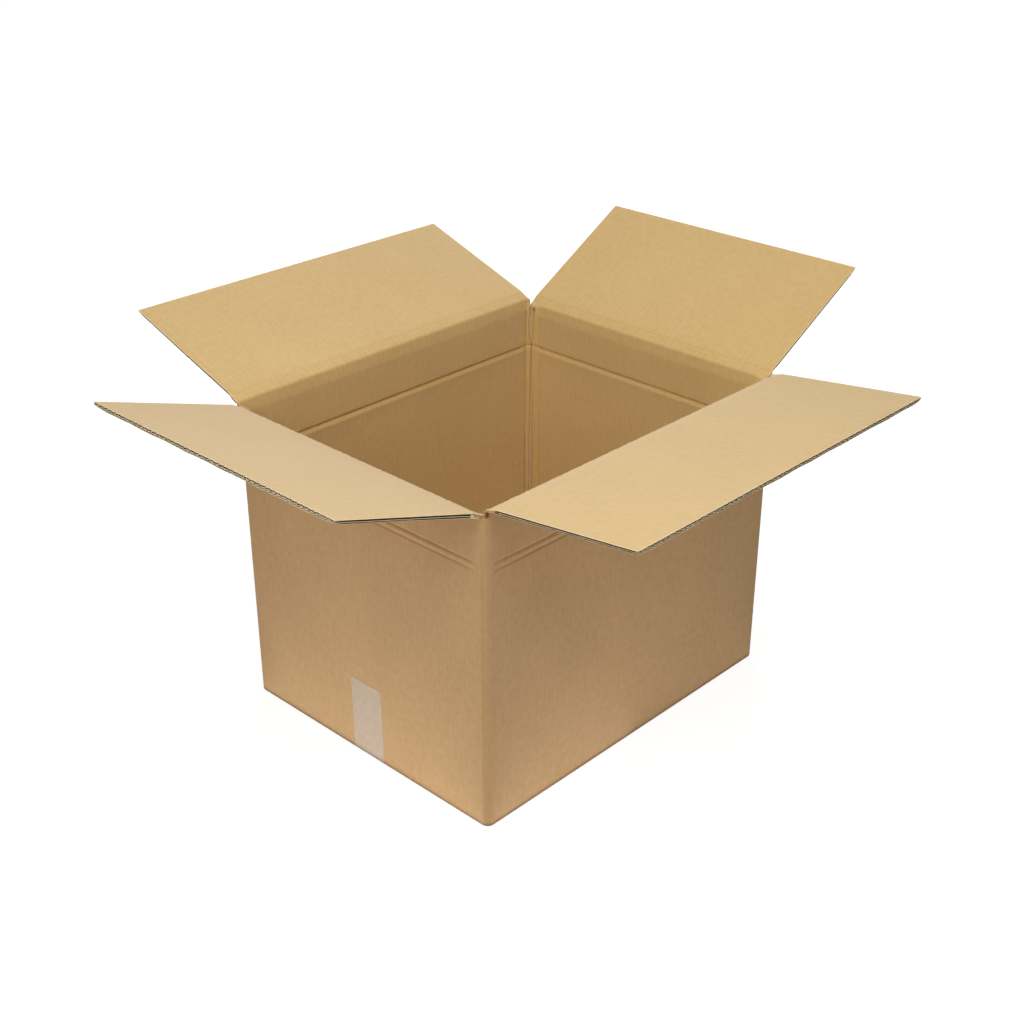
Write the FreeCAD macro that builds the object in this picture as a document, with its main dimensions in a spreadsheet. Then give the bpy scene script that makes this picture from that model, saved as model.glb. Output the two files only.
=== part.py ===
import FreeCAD, Part
import os

import Sketcher

# An open regular slotted carton of double-wall corrugated board, in millimetres.
# X runs along the box's length, Y across its width and Z up. The origin is the middle of
# the base, on the floor. The walls, the glued lap and the closed bottom flaps are one
# folded sheet. The four top flaps hinge at their creases, on the walls' outer faces.

# Driving dimensions. Flap angles are counted up from level, with the flap pointing outward.
SIZES = {
    "box_length": 480.0,
    "box_width": 392.0,
    "crease_height": 380.6,
    "board": 6.0,
    "clearance": 0.3,
    "corner_radius": 9.0,
    "inside_fold_long": 7.0,
    "inside_fold_end": 12.0,
    "inside_pinch": 2.0,
    "long_flap_depth": 190.6,
    "end_flap_depth": 190.6,
    "long_flap_inset": 1.0,
    "front_angle": 7.7,
    "rear_angle": 18.0,
    "left_angle": 18.5,
    "right_angle": 29.4,
    "liner": 0.4,
    "small_flute_height": 1.9,
    "small_flute_pitch": 6.5,
    "large_flute_pitch": 7.8,
    "medium_half": 0.25,
    "crushed_band": 12.0,
    "score_height": 318.0,
    "score_width": 8.0,
    "score_depth": 1.4,
    "score_line_gap": 8.6,
    "score_line_width": 3.0,
    "score_line_depth": 0.7,
    "score_line_end": 14.0,
    "seam_gap": 1.0,
    "bottom_flap_depth": 190.6,
    "bottom_bevel": 2.5,
    "lap_width": 35.0,
    "lap_thickness": 2.4,
    "lap_seam": 0.8,
    "tape_width": 50.0,
    "tape_thickness": 0.4,
    "tape_rise": 99.0,
    "tape_shift": -5.5,
}

# Lengths that follow from the driving dimensions.
HALF_LENGTH = "(Sizes.box_length / 2)"
HALF_WIDTH = "(Sizes.box_width / 2)"
INNER_LENGTH = "(Sizes.box_length / 2 - Sizes.board)"
INNER_WIDTH = "(Sizes.box_width / 2 - Sizes.board)"
LONG_CREASE = "Sizes.crease_height"
END_CREASE = "(Sizes.crease_height - Sizes.board - Sizes.clearance)"
LONG_FLAP_WIDTH = "(Sizes.box_length - 2 * Sizes.long_flap_inset)"
END_FLAP_WIDTH = "(Sizes.box_width - 2 * Sizes.board - 2 * Sizes.clearance)"
UPPER_FLOOR = "(Sizes.board + Sizes.clearance)"
LAP_FLOOR = "(2 * Sizes.board + 2 * Sizes.clearance)"
LAP_HEIGHT = f"({END_CREASE} - 2 * Sizes.board - {LAP_FLOOR})"
MITRE_BAND = "(Sizes.board + Sizes.inside_fold_long + Sizes.inside_fold_end)"
BEVEL_LEFT = "(Sizes.bottom_bevel - Sizes.tape_thickness)"

# The facets of a rounded outer corner: double-wall board folds in flats between its flutes.
CORNER_FACETS = 4
QUARTER_TURN = 90
HALF_BEND = QUARTER_TURN / 4

# A cut starts this far outside the board, or this far off a face for a shallow score.
OVERSHOOT = 5
SCORE_OVERSHOOT = 0.5

# How far over its width the deepest line of a score lies, as a share of half the width.
SCORE_LEAN = 0.5


def make_sheet(document):
    """Writes the driving dimensions into a sheet, one named cell each."""
    sheet = document.addObject("Spreadsheet::Sheet", "Sizes")
    for row, (name, value) in enumerate(SIZES.items(), 1):
        sheet.set(f"A{row}", name)
        sheet.set(f"B{row}", str(value))
        sheet.setAlias(f"B{row}", name)
    document.recompute()
    return sheet


def origin_part(body, role):
    """One of the body's own origin planes or axes."""
    return next(part for part in body.Origin.OriginFeatures if part.Role == role)


def new_sketch(body, name, plane, offset=None):
    """A sketch on an origin plane of the body, moved along the plane's normal by an expression."""
    sketch = body.newObject("Sketcher::SketchObject", name)
    sketch.AttachmentSupport = [(origin_part(body, plane), "")]
    sketch.MapMode = "FlatFace"
    if offset:
        sketch.setExpression("AttachmentOffset.Base.z", offset)
    return sketch


def draw_loop(sketch, corners):
    """Draws a closed outline of lines, each corner a pair of expressions counted from the origin."""
    spots = []
    for across, up in corners:
        spots.append(FreeCAD.Vector(sketch.evalExpression(across), sketch.evalExpression(up), 0))
    first = sketch.GeometryCount
    count = len(corners)
    for number in range(count):
        sketch.addGeometry(Part.LineSegment(spots[number], spots[(number + 1) % count]), False)
    for number in range(count):
        line = first + number
        sketch.addConstraint(Sketcher.Constraint("Coincident", line, 2, first + (number + 1) % count, 1))
    for number, (across, up) in enumerate(corners):
        line = first + number
        bind_distance(sketch, "DistanceX", line, spots[number].x, across)
        bind_distance(sketch, "DistanceY", line, spots[number].y, up)


def bind_distance(sketch, kind, line, value, expression):
    """Ties the start of a line to the sketch's origin by a distance that follows an expression."""
    number = sketch.addConstraint(Sketcher.Constraint(kind, -1, 1, line, 1, value))
    sketch.setExpression(f"Constraints[{number}]", expression)


def mirrored(corners):
    """The same outline on the other side of the sketch's upright axis."""
    return [(f"-({across})", up) for across, up in reversed(corners)]


def pad(body, name, sketch, length):
    """Thickens a sketch along its normal."""
    feature = body.newObject("PartDesign::Pad", name)
    feature.Profile = sketch
    feature.setExpression("Length", length)
    body.Document.recompute()
    return feature


def pocket(body, name, sketch, length, both_ways=True):
    """Cuts a sketch's outline out of the body, and makes sure that it did cut."""
    before = body.Shape.Volume
    feature = body.newObject("PartDesign::Pocket", name)
    feature.Profile = sketch
    feature.setExpression("Length", length)
    feature.Midplane = both_ways
    feature.Reversed = not both_ways
    body.Document.recompute()
    if feature.Shape.Volume >= before:
        raise ValueError(f"{name} cut nothing")
    return feature


def outer_corner(side_x, side_y, lap_seam=False):
    """Points of a rounded outer corner, from its end wall to its long wall."""
    points = []
    for step in range(CORNER_FACETS + 1):
        turn = QUARTER_TURN * step / CORNER_FACETS
        across = f"({HALF_LENGTH} - Sizes.corner_radius * (1 - cos({turn})))"
        along = f"({HALF_WIDTH} - Sizes.corner_radius * (1 - sin({turn})))"
        if lap_seam and step == 1:
            points.append((f"{side_x} * {across}", f"{side_y} * ({along} - Sizes.lap_seam / 2)"))
            points.append((f"{side_x} * ({across} - Sizes.lap_seam)", f"{side_y} * {along}"))
            across = f"({across} - Sizes.lap_seam / 4)"
            along = f"({along} + Sizes.lap_seam / 2)"
        points.append((f"{side_x} * {across}", f"{side_y} * {along}"))
    return points


def inner_corner(side_x, side_y):
    """Points of an inside corner, where the liner buckles in two folds with a pinch between them."""
    pinch_x = f"({INNER_LENGTH} - Sizes.inside_fold_long / 2 + Sizes.inside_pinch / 2)"
    pinch_y = f"({INNER_WIDTH} - Sizes.inside_fold_end / 2 + Sizes.inside_pinch / 2)"
    return [
        (f"{side_x} * {INNER_LENGTH}", f"{side_y} * ({INNER_WIDTH} - Sizes.inside_fold_end)"),
        (f"{side_x} * {pinch_x}", f"{side_y} * {pinch_y}"),
        (f"{side_x} * ({INNER_LENGTH} - Sizes.inside_fold_long)", f"{side_y} * {INNER_WIDTH}"),
    ]


def draw_walls(body):
    """The four wall panels as one tube, with folded corners."""
    sketch = new_sketch(body, "wall_outline", "XY_Plane")
    outer = outer_corner(1, 1) + outer_corner(-1, 1)[::-1]
    outer += outer_corner(-1, -1, lap_seam=True) + outer_corner(1, -1)[::-1]
    draw_loop(sketch, outer)
    inner = inner_corner(1, 1) + inner_corner(-1, 1)[::-1]
    inner += inner_corner(-1, -1) + inner_corner(1, -1)[::-1]
    draw_loop(sketch, inner)
    pad(body, "walls", sketch, LONG_CREASE)


def draw_outer_bottom_flaps(body):
    """The long panels' bottom flaps, which meet at the seam under the middle of the box."""
    sketch = new_sketch(body, "outer_bottom_flap_outline", "XY_Plane")
    end = f"({INNER_LENGTH} - Sizes.clearance)"
    for side in (1, -1):
        draw_loop(sketch, [
            (f"-{end}", f"{side} * Sizes.seam_gap / 2"),
            (end, f"{side} * Sizes.seam_gap / 2"),
            (end, f"{side} * ({INNER_WIDTH} + Sizes.board / 2)"),
            (f"-{end}", f"{side} * ({INNER_WIDTH} + Sizes.board / 2)"),
        ])
    pad(body, "outer_bottom_flaps", sketch, "Sizes.board")


def draw_inner_bottom_flaps(body):
    """The end panels' bottom flaps, which lie on the long ones and leave the middle open."""
    sketch = new_sketch(body, "inner_bottom_flap_outline", "XY_Plane", UPPER_FLOOR)
    side = f"({INNER_WIDTH} - Sizes.clearance)"
    for end in (1, -1):
        draw_loop(sketch, [
            (f"{end} * ({HALF_LENGTH} - Sizes.bottom_flap_depth)", f"-{side}"),
            (f"{end} * ({INNER_LENGTH} + Sizes.board / 2)", f"-{side}"),
            (f"{end} * ({INNER_LENGTH} + Sizes.board / 2)", side),
            (f"{end} * ({HALF_LENGTH} - Sizes.bottom_flap_depth)", side),
        ])
    pad(body, "inner_bottom_flaps", sketch, "Sizes.board")


def draw_lap(body):
    """The long panel's glue lap, pressed flat against the inside of the left end panel."""
    sketch = new_sketch(body, "lap_outline", "XY_Plane", LAP_FLOOR)
    draw_loop(sketch, [
        (f"-({INNER_LENGTH} + Sizes.board / 2)", f"-({INNER_WIDTH} + Sizes.board / 4)"),
        (f"-({INNER_LENGTH} - Sizes.lap_thickness)", f"-({INNER_WIDTH} + Sizes.board / 4)"),
        (f"-({INNER_LENGTH} - Sizes.lap_thickness)", f"-({INNER_WIDTH} - Sizes.lap_width)"),
        (f"-({INNER_LENGTH} + Sizes.board / 2)", f"-({INNER_WIDTH} - Sizes.lap_width - Sizes.board)"),
    ])
    pad(body, "glued_lap", sketch, LAP_HEIGHT)


def cut_creases(body):
    """Slopes the wall tops up to the hinge lines, where the board bends, and ends the slots."""
    height = f"({LONG_CREASE} + {OVERSHOOT})"
    sketch = new_sketch(body, "slot_ends", "XZ_Plane")
    edge = f"({HALF_LENGTH} + {OVERSHOOT})"
    slot_end = [(INNER_LENGTH, END_CREASE), (edge, END_CREASE), (edge, height), (INNER_LENGTH, height)]
    draw_loop(sketch, slot_end)
    draw_loop(sketch, mirrored(slot_end))
    pocket(body, "slot_end_cut", sketch, "2 * Sizes.box_width")

    sketch = new_sketch(body, "end_crease_slope", "XZ_Plane")
    low = f"({HALF_LENGTH} - {MITRE_BAND})"
    slope = [(HALF_LENGTH, END_CREASE), (HALF_LENGTH, height), (low, height), (low, f"({END_CREASE} - {MITRE_BAND})")]
    draw_loop(sketch, slope)
    draw_loop(sketch, mirrored(slope))
    pocket(body, "end_crease_cut", sketch, f"2 * {INNER_WIDTH}")

    sketch = new_sketch(body, "long_crease_slope", "YZ_Plane")
    low = f"({HALF_WIDTH} - {MITRE_BAND})"
    slope = [(HALF_WIDTH, LONG_CREASE), (HALF_WIDTH, height), (low, height), (low, f"({LONG_CREASE} - {MITRE_BAND})")]
    draw_loop(sketch, slope)
    draw_loop(sketch, mirrored(slope))
    pocket(body, "long_crease_cut", sketch, f"2 * {INNER_LENGTH}")


def groove(face, side, height, width, depth):
    """A score pressed into a wall: a notch from its face, towards the wall's middle for side 1."""
    return [
        (f"({face} - {side} * {SCORE_OVERSHOOT})", f"({height} - {width} / 2)"),
        (f"({face} - {side} * {SCORE_OVERSHOOT})", f"({height} + {width} / 2)"),
        (face, f"({height} + {width} / 2)"),
        (f"({face} + {side} * {depth})", f"({height} + {SCORE_LEAN} * {width} / 2)"),
        (face, f"({height} - {width} / 2)"),
    ]


def cut_scores(body):
    """The spare fold line round the box: one groove inside and a pair of fine lines outside."""
    for plane, inner, outer, end_fold, span in (
        ("XZ_Plane", INNER_LENGTH, HALF_LENGTH, "Sizes.inside_fold_end", "Sizes.box_width"),
        ("YZ_Plane", INNER_WIDTH, HALF_WIDTH, "Sizes.inside_fold_long", "Sizes.box_length"),
    ):
        wall = "end" if plane == "XZ_Plane" else "long"
        sketch = new_sketch(body, f"{wall}_score_inside", plane)
        notch = groove(inner, 1, "Sizes.score_height", "Sizes.score_width", "Sizes.score_depth")
        draw_loop(sketch, notch)
        draw_loop(sketch, mirrored(notch))
        pocket(body, f"{wall}_score_groove", sketch, f"({span} - 2 * Sizes.board - 2 * {end_fold})")
        sketch = new_sketch(body, f"{wall}_score_outside", plane)
        for level in ("+", "-"):
            height = f"(Sizes.score_height {level} Sizes.score_line_gap / 2)"
            notch = groove(outer, -1, height, "Sizes.score_line_width", "Sizes.score_line_depth")
            draw_loop(sketch, notch)
            draw_loop(sketch, mirrored(notch))
        pocket(body, f"{wall}_score_lines", sketch, f"({span} - 2 * Sizes.score_line_end)")


def cut_bottom(body):
    """Bevels the bottom folds and presses in the board that the tape lies on."""
    for plane, half, wall in (("XZ_Plane", HALF_LENGTH, "end"), ("YZ_Plane", HALF_WIDTH, "long")):
        sketch = new_sketch(body, f"{wall}_bottom_fold", plane)
        far = f"({half} + {OVERSHOOT})"
        bevel = [(half, "Sizes.bottom_bevel"), (f"({half} - Sizes.bottom_bevel)", "0"),
                 (f"({half} - Sizes.bottom_bevel)", f"-{OVERSHOOT}"), (far, f"-{OVERSHOOT}"),
                 (far, "Sizes.bottom_bevel")]
        draw_loop(sketch, bevel)
        draw_loop(sketch, mirrored(bevel))
        pocket(body, f"{wall}_bottom_bevel", sketch, "2 * (Sizes.box_length + Sizes.box_width)")
    sketch = new_sketch(body, "tape_bed", "YZ_Plane")
    side = "(Sizes.tape_width / 2 + Sizes.clearance)"
    draw_loop(sketch, [
        (f"(Sizes.tape_shift - {side})", f"-{OVERSHOOT}"),
        (f"(Sizes.tape_shift + {side})", f"-{OVERSHOOT}"),
        (f"(Sizes.tape_shift + {side})", "Sizes.tape_thickness"),
        (f"(Sizes.tape_shift - {side})", "Sizes.tape_thickness"),
    ])
    pocket(body, "tape_bed_cut", sketch, "2 * Sizes.box_length")


def make_carton(document):
    """The folded sheet: walls, glued lap and closed bottom."""
    body = document.addObject("PartDesign::Body", "carton")
    draw_walls(body)
    draw_outer_bottom_flaps(body)
    draw_inner_bottom_flaps(body)
    draw_lap(body)
    cut_creases(body)
    cut_scores(body)
    cut_bottom(body)
    return body


def flute_row(body, name, wide, deep, pitch, floor, height, wide_side_up):
    """One fluted layer: rows of three-sided channels that run from the free edge to the crease."""
    count = f"round({wide} / {pitch})"
    step = f"({wide} / {count})"
    half = f"({step} / 2 - Sizes.medium_half)"
    rise = f"({half} * 2 * {height} / {step})"
    top = f"({floor} + {height})"
    sketch = new_sketch(body, f"{name}_section", "XZ_Plane", f"-({deep})")
    start = f"(-{wide} / 2)"
    upside = [(f"({start} - {half})", top), (f"({start} + {half})", top), (start, f"({top} - {rise})")]
    upright = [(f"({start} - {half})", floor), (f"({start} + {half})", floor), (start, f"({floor} + {rise})")]
    cut_on_edge, cut_between = (upside, upright) if wide_side_up else (upright, upside)
    draw_loop(sketch, cut_on_edge)
    draw_loop(sketch, [(f"({across} + {step} / 2)", up) for across, up in cut_between])
    channels = pocket(body, f"{name}_channels", sketch, f"({deep} - Sizes.crushed_band)", both_ways=False)
    row = body.newObject("PartDesign::LinearPattern", f"{name}_row")
    row.Originals = [channels]
    row.Direction = (origin_part(body, "X_Axis"), [""])
    row.Mode = "Spacing"
    row.setExpression("Offset", step)
    row.setExpression("Occurrences", f"{count} + 1")
    body.Tip = row
    document = body.Document
    document.recompute()
    if row.Shape.Volume >= channels.Shape.Volume:
        raise ValueError(f"{name}_row repeated nothing")


def make_flap(document, name, wide, deep, turn, angle, hinge):
    """A top flap: board from its crease to its free edge, turned about the crease into its place."""
    body = document.addObject("PartDesign::Body", name)
    sketch = new_sketch(body, f"{name}_side_view", "YZ_Plane", f"-{wide} / 2")
    draw_loop(sketch, [
        ("Sizes.clearance", "0"),
        (deep, "0"),
        (deep, "Sizes.board"),
        ("(Sizes.board + Sizes.clearance)", "Sizes.board"),
    ])
    pad(body, f"{name}_board", sketch, wide)
    small_floor = "Sizes.liner"
    large_floor = "(2 * Sizes.liner + Sizes.small_flute_height)"
    large_height = "(Sizes.board - 3 * Sizes.liner - Sizes.small_flute_height)"
    flute_row(body, f"{name}_small_flutes", wide, deep, "Sizes.small_flute_pitch", small_floor,
              "Sizes.small_flute_height", False)
    flute_row(body, f"{name}_large_flutes", wide, deep, "Sizes.large_flute_pitch", large_floor,
              large_height, True)
    for axis, place in zip("xyz", hinge):
        body.setExpression(f"Placement.Base.{axis}", place)
    body.setExpression("Placement.Rotation.Yaw", str(turn))
    body.setExpression("Placement.Rotation.Roll", angle)
    return body


def make_flaps(document):
    """The four top flaps, each at the angle at which it rests."""
    long_size = (LONG_FLAP_WIDTH, "Sizes.long_flap_depth")
    end_size = (END_FLAP_WIDTH, "Sizes.end_flap_depth")
    front = ("0", f"-{HALF_WIDTH}", LONG_CREASE)
    rear = ("0", HALF_WIDTH, LONG_CREASE)
    left = (f"-{HALF_LENGTH}", "0", END_CREASE)
    right = (HALF_LENGTH, "0", END_CREASE)
    return [
        make_flap(document, "front_long_flap", *long_size, 180, "Sizes.front_angle", front),
        make_flap(document, "rear_long_flap", *long_size, 0, "Sizes.rear_angle", rear),
        make_flap(document, "left_end_flap", *end_size, 90, "Sizes.left_angle", left),
        make_flap(document, "right_end_flap", *end_size, -90, "Sizes.right_angle", right),
    ]


def make_tape(document):
    """One strip of tape along the bottom seam, up both end panels."""
    body = document.addObject("PartDesign::Body", "bottom_tape")
    sketch = new_sketch(body, "tape_side_view", "XZ_Plane", "-Sizes.tape_shift - Sizes.tape_width / 2")
    skew = f"(Sizes.tape_thickness * tan({HALF_BEND}))"
    out = f"({HALF_LENGTH} + Sizes.tape_thickness)"
    inside = [
        (HALF_LENGTH, "Sizes.tape_rise"),
        (HALF_LENGTH, "Sizes.bottom_bevel"),
        (f"({HALF_LENGTH} - {BEVEL_LEFT})", "Sizes.tape_thickness"),
    ]
    outside = [
        (out, "Sizes.tape_rise"),
        (out, f"(Sizes.bottom_bevel - {skew})"),
        (f"({HALF_LENGTH} - {BEVEL_LEFT} + {skew})", "0"),
    ]
    draw_loop(sketch, inside + mirrored(inside) + mirrored(outside)[::-1] + outside[::-1])
    pad(body, "tape_strip", sketch, "Sizes.tape_width")
    return body


def check(document, shapes):
    """Stops if any object failed or any piece has no sound solid."""
    for item in document.Objects:
        if "Invalid" in item.State or "Error" in item.State:
            raise ValueError(f"{item.Name} failed: {item.State}")
    for label, shape in shapes.items():
        if shape.isNull() or not shape.isValid():
            raise ValueError(f"{label} has no sound shape")
        print(label, len(shape.Solids), "solid", round(shape.Volume), "mm3", len(shape.Faces), "faces")


def main():
    """Builds the document and writes one file for each piece."""
    document = FreeCAD.newDocument("OpenCarton")
    make_sheet(document)
    bodies = [make_carton(document)] + make_flaps(document) + [make_tape(document)]
    document.recompute()
    shapes = {body.Label: body.Shape for body in bodies}
    check(document, shapes)
    os.makedirs("parts", exist_ok=True)
    for label, shape in shapes.items():
        shape.exportStep(f"parts/{label}.step")


main()
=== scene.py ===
import math

import bmesh
import bpy
import numpy as np
from mathutils import Matrix, Vector

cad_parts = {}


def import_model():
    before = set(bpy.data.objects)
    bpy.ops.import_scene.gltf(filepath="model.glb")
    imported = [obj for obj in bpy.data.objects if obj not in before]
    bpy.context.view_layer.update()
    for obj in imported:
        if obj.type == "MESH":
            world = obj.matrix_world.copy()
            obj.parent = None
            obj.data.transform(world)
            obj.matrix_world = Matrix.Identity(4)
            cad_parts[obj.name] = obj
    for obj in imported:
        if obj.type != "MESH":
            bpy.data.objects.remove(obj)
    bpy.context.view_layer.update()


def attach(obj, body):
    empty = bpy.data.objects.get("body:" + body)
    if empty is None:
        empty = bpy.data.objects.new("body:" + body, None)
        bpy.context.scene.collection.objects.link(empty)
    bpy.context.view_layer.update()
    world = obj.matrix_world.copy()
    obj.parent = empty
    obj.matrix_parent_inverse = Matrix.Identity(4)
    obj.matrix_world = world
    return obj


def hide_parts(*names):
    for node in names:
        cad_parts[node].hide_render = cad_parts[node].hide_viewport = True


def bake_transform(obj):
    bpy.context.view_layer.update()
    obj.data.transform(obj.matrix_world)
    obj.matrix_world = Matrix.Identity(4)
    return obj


# Looks of the open carton of double-wall board. Lengths are in millimetres until a mesh is made.
# A wall has three directions: s along its crease, out from its outer face, and up.

MM = 0.001

# Sizes of the solid model.
BOX_LENGTH = 480.0
BOX_WIDTH = 392.0
LONG_CREASE = 380.6
BOARD = 6.0
CLEARANCE = 0.3
END_CREASE = LONG_CREASE - BOARD - CLEARANCE
LONG_FLAP_WIDTH = BOX_LENGTH - 2.0
END_FLAP_WIDTH = BOX_WIDTH - 2 * BOARD - 2 * CLEARANCE
FLAP_DEPTH = 190.6
CORNER_RADIUS = 9.0
TAPE_WIDTH = 50.0
TAPE_RISE = 99.0
TAPE_SHIFT = -5.5

# Layers of the board, from the outer liner to the inner one.
LINER = 0.4
SMALL_FLUTE_TOP = 2.3
LARGE_FLUTE_FLOOR = 2.7
SMALL_PITCH = 6.5
LARGE_PITCH = 7.8
MEDIUM = 0.24

# How thick the two mediums look at the cut, where their fibres spread.
SMALL_CUT = 0.6
LARGE_CUT = 0.65

# Points to a flute where it shows and where it is hidden, and rows in the middle of a board.
FLUTE_POINTS = 8
HIDDEN_POINTS = 4
MIDDLE_ROWS = 3

# Spacing of a liner's columns of points: six in a large flute and five in a small one.
COLUMN = 1.3
WASHBOARD = 0.045

# How far from its crease a wall's inner face and a flap's top give way to the bent liner.
SKIN_REACH = 12.0
SKIN_THICK = 0.8
SKIN_END_THICK = 3.2

# The row of the bent liner's points from which its cut sides are pale.
PALE_FROM = 11

# How deep the crease presses the bent liner in.
CREASE_CRUSH = 2.3

# The edge of the creasing rule leaves a faint line on the flap, this deep.
CREASE_LINE = 0.35

# How far a wall's or a flap's liner runs on under the bent one, and how deep below it.
TUCK = 1.5
TUCK_DEEP = 0.25

# A cut leaves a paler rim this wide on the inner liner, and its fibres spread this far into
# the flutes.
RIM = 0.6
CUT_SPREAD = 0.12

# How far from a corner the walls have finer columns of points, counted from the outer corner.
CORNER_FINE = 28.0

# Walls in order round the box: direction along the crease, outward normal, span, distance
# of the outer face from the middle, height of the crease and start along the unfolded sheet.
WALLS = {
    "front": ((1, 0), (0, -1), BOX_LENGTH, BOX_WIDTH / 2, LONG_CREASE, 0.0),
    "right": ((0, 1), (1, 0), BOX_WIDTH, BOX_LENGTH / 2, END_CREASE, BOX_LENGTH),
    "rear": ((-1, 0), (0, 1), BOX_LENGTH, BOX_WIDTH / 2, LONG_CREASE, BOX_LENGTH + BOX_WIDTH),
    "left": ((0, -1), (-1, 0), BOX_WIDTH, BOX_LENGTH / 2, END_CREASE, 2 * BOX_LENGTH + BOX_WIDTH),
}
PERIMETER = 2 * (BOX_LENGTH + BOX_WIDTH)

# Flaps: wall, CAD node, width, resting angle in degrees above level, how far each slot's cut
# leans in at the crease at the flap's two sides, and how much the cuts crush the board.
FLAPS = (
    ("front", "front_long_flap", LONG_FLAP_WIDTH, 7.7, (3.5, 0.0), (0.28, 0.45, 0.0)),
    ("rear", "rear_long_flap", LONG_FLAP_WIDTH, 18.0, (4.5, -1.5), (0.40, 0.62, 0.0)),
    ("left", "left_end_flap", END_FLAP_WIDTH, 18.5, (0.0, 0.0), (0.45, 0.30, 1.15)),
    ("right", "right_end_flap", END_FLAP_WIDTH, 29.4, (3.0, 0.0), (0.62, 0.40, 0.0)),
)

# The bottom flaps: how much the cuts crush them, and their height above the floor.
BOTTOM_CRUSH = (0.28, 0.28, 0.0)
BOTTOM_LIFT = 0.25

# Slots of a board's materials. The shaded flute slot carries a dark colour that is painted shade: the
# corrugated medium's paper is as brown as the liners, darkened for the shadow in the flutes.
OUTER, INNER, EDGE, SHADED_FLUTE = 0, 1, 2, 3

# Colours of the outer and inner liner, the outer darker: body, darker fibres and paler specks.
OUTSIDE_TINTS = ((0.54, 0.324, 0.136, 1), (0.45, 0.262, 0.095, 1), (0.61, 0.384, 0.18, 1))
INSIDE_TINTS = ((0.645, 0.426, 0.153, 1), (0.568, 0.364, 0.114, 1), (0.715, 0.496, 0.206, 1))

# The tape's colours: pale, dull, and a small mark where the film holds tighter.
TAPE_PALE = (0.72, 0.575, 0.43, 1.0)
TAPE_DULL = (0.63, 0.475, 0.33, 1.0)
TAPE_MARK = (0.50, 0.34, 0.22, 1.0)

# Floor: grey to the light, and nearly white glow to the camera, full beyond the box's shadow.
FLOOR_GREY = 0.82
FLOOR_SHADE = 0.30
GLOW_NEAR, GLOW_FAR = 0.5, 1.3
GLOW_LOW, GLOW_FULL = 0.90, 1.0
SURROUND = 0.064

# Soft lamps, in metres and watts: place, point looked at, sides, power, and whether the
# camera may see it.
LAMPS = (
    ("key", (-0.5, -0.5, 1.6), (-0.3, -0.3, 0), (1.0, 1.0), 14.8, True),
    ("side", (-2.0, -0.4, 1.2), (-0.1, -0.1, 0.2), (1.0, 1.0), 9.2, True),
    ("top", (0.6, 0.6, 1.9), (-0.1, -0.1, 0.2), (1.2, 1.2), 10.8, True),
    ("front", (0.7, -2.0, 0.8), (0.1, -0.2, 0.2), (0.8, 0.8), 2.2, True),
    ("back", (1.5, 1.4, 1.3), (-0.1, -0.1, 0.4), (1.0, 1.0), 11.0, False),
)

# Camera: place in metres, angles in degrees and lens in sensor widths.
CAMERA_SPOT = (-1.1748, -1.1267, 1.0677)
CAMERA_AZIMUTH = -46.251
CAMERA_ELEVATION = 27.395
SENSOR_WIDTH = 36.0
LENS_SHARE = 1546.1 / 1024

# Cards of light on the floor beside the walls in view, in metres: middle, sides and power.
CARDS = (
    ("left_card", -0.517, 0.0, 0.55, 0.392, 0.80),
    ("corner_card", -0.12, -0.473, 0.24, 0.55, 0.44),
    ("right_card", 0.12, -0.473, 0.24, 0.55, 0.26),
)


def wander(places, length, seed):
    """A smooth random curve between about -1 and 1 that changes over the given length."""
    random = np.random.default_rng(seed)
    total = np.zeros_like(places, dtype=float)
    for _ in range(5):
        stretch = length * random.uniform(0.5, 2.0)
        total += np.sin(2 * np.pi * places / stretch + random.uniform(0, 2 * np.pi))
    return total / 3


def step_between(values, low, high):
    """0 below low, 1 above high and a smooth rise between them."""
    share = np.clip((values - low) / (high - low), 0, 1)
    return share * share * (3 - 2 * share)


def place(wall, s, out, up):
    """Points in the box's own frame from a wall's three directions."""
    along, normal, _, half, _, _ = WALLS[wall]
    s, out, up = np.broadcast_arrays(s, out, up)
    return np.stack([
        along[0] * s + normal[0] * (half + out),
        along[1] * s + normal[1] * (half + out),
        up,
    ], -1).astype(float)


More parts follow.
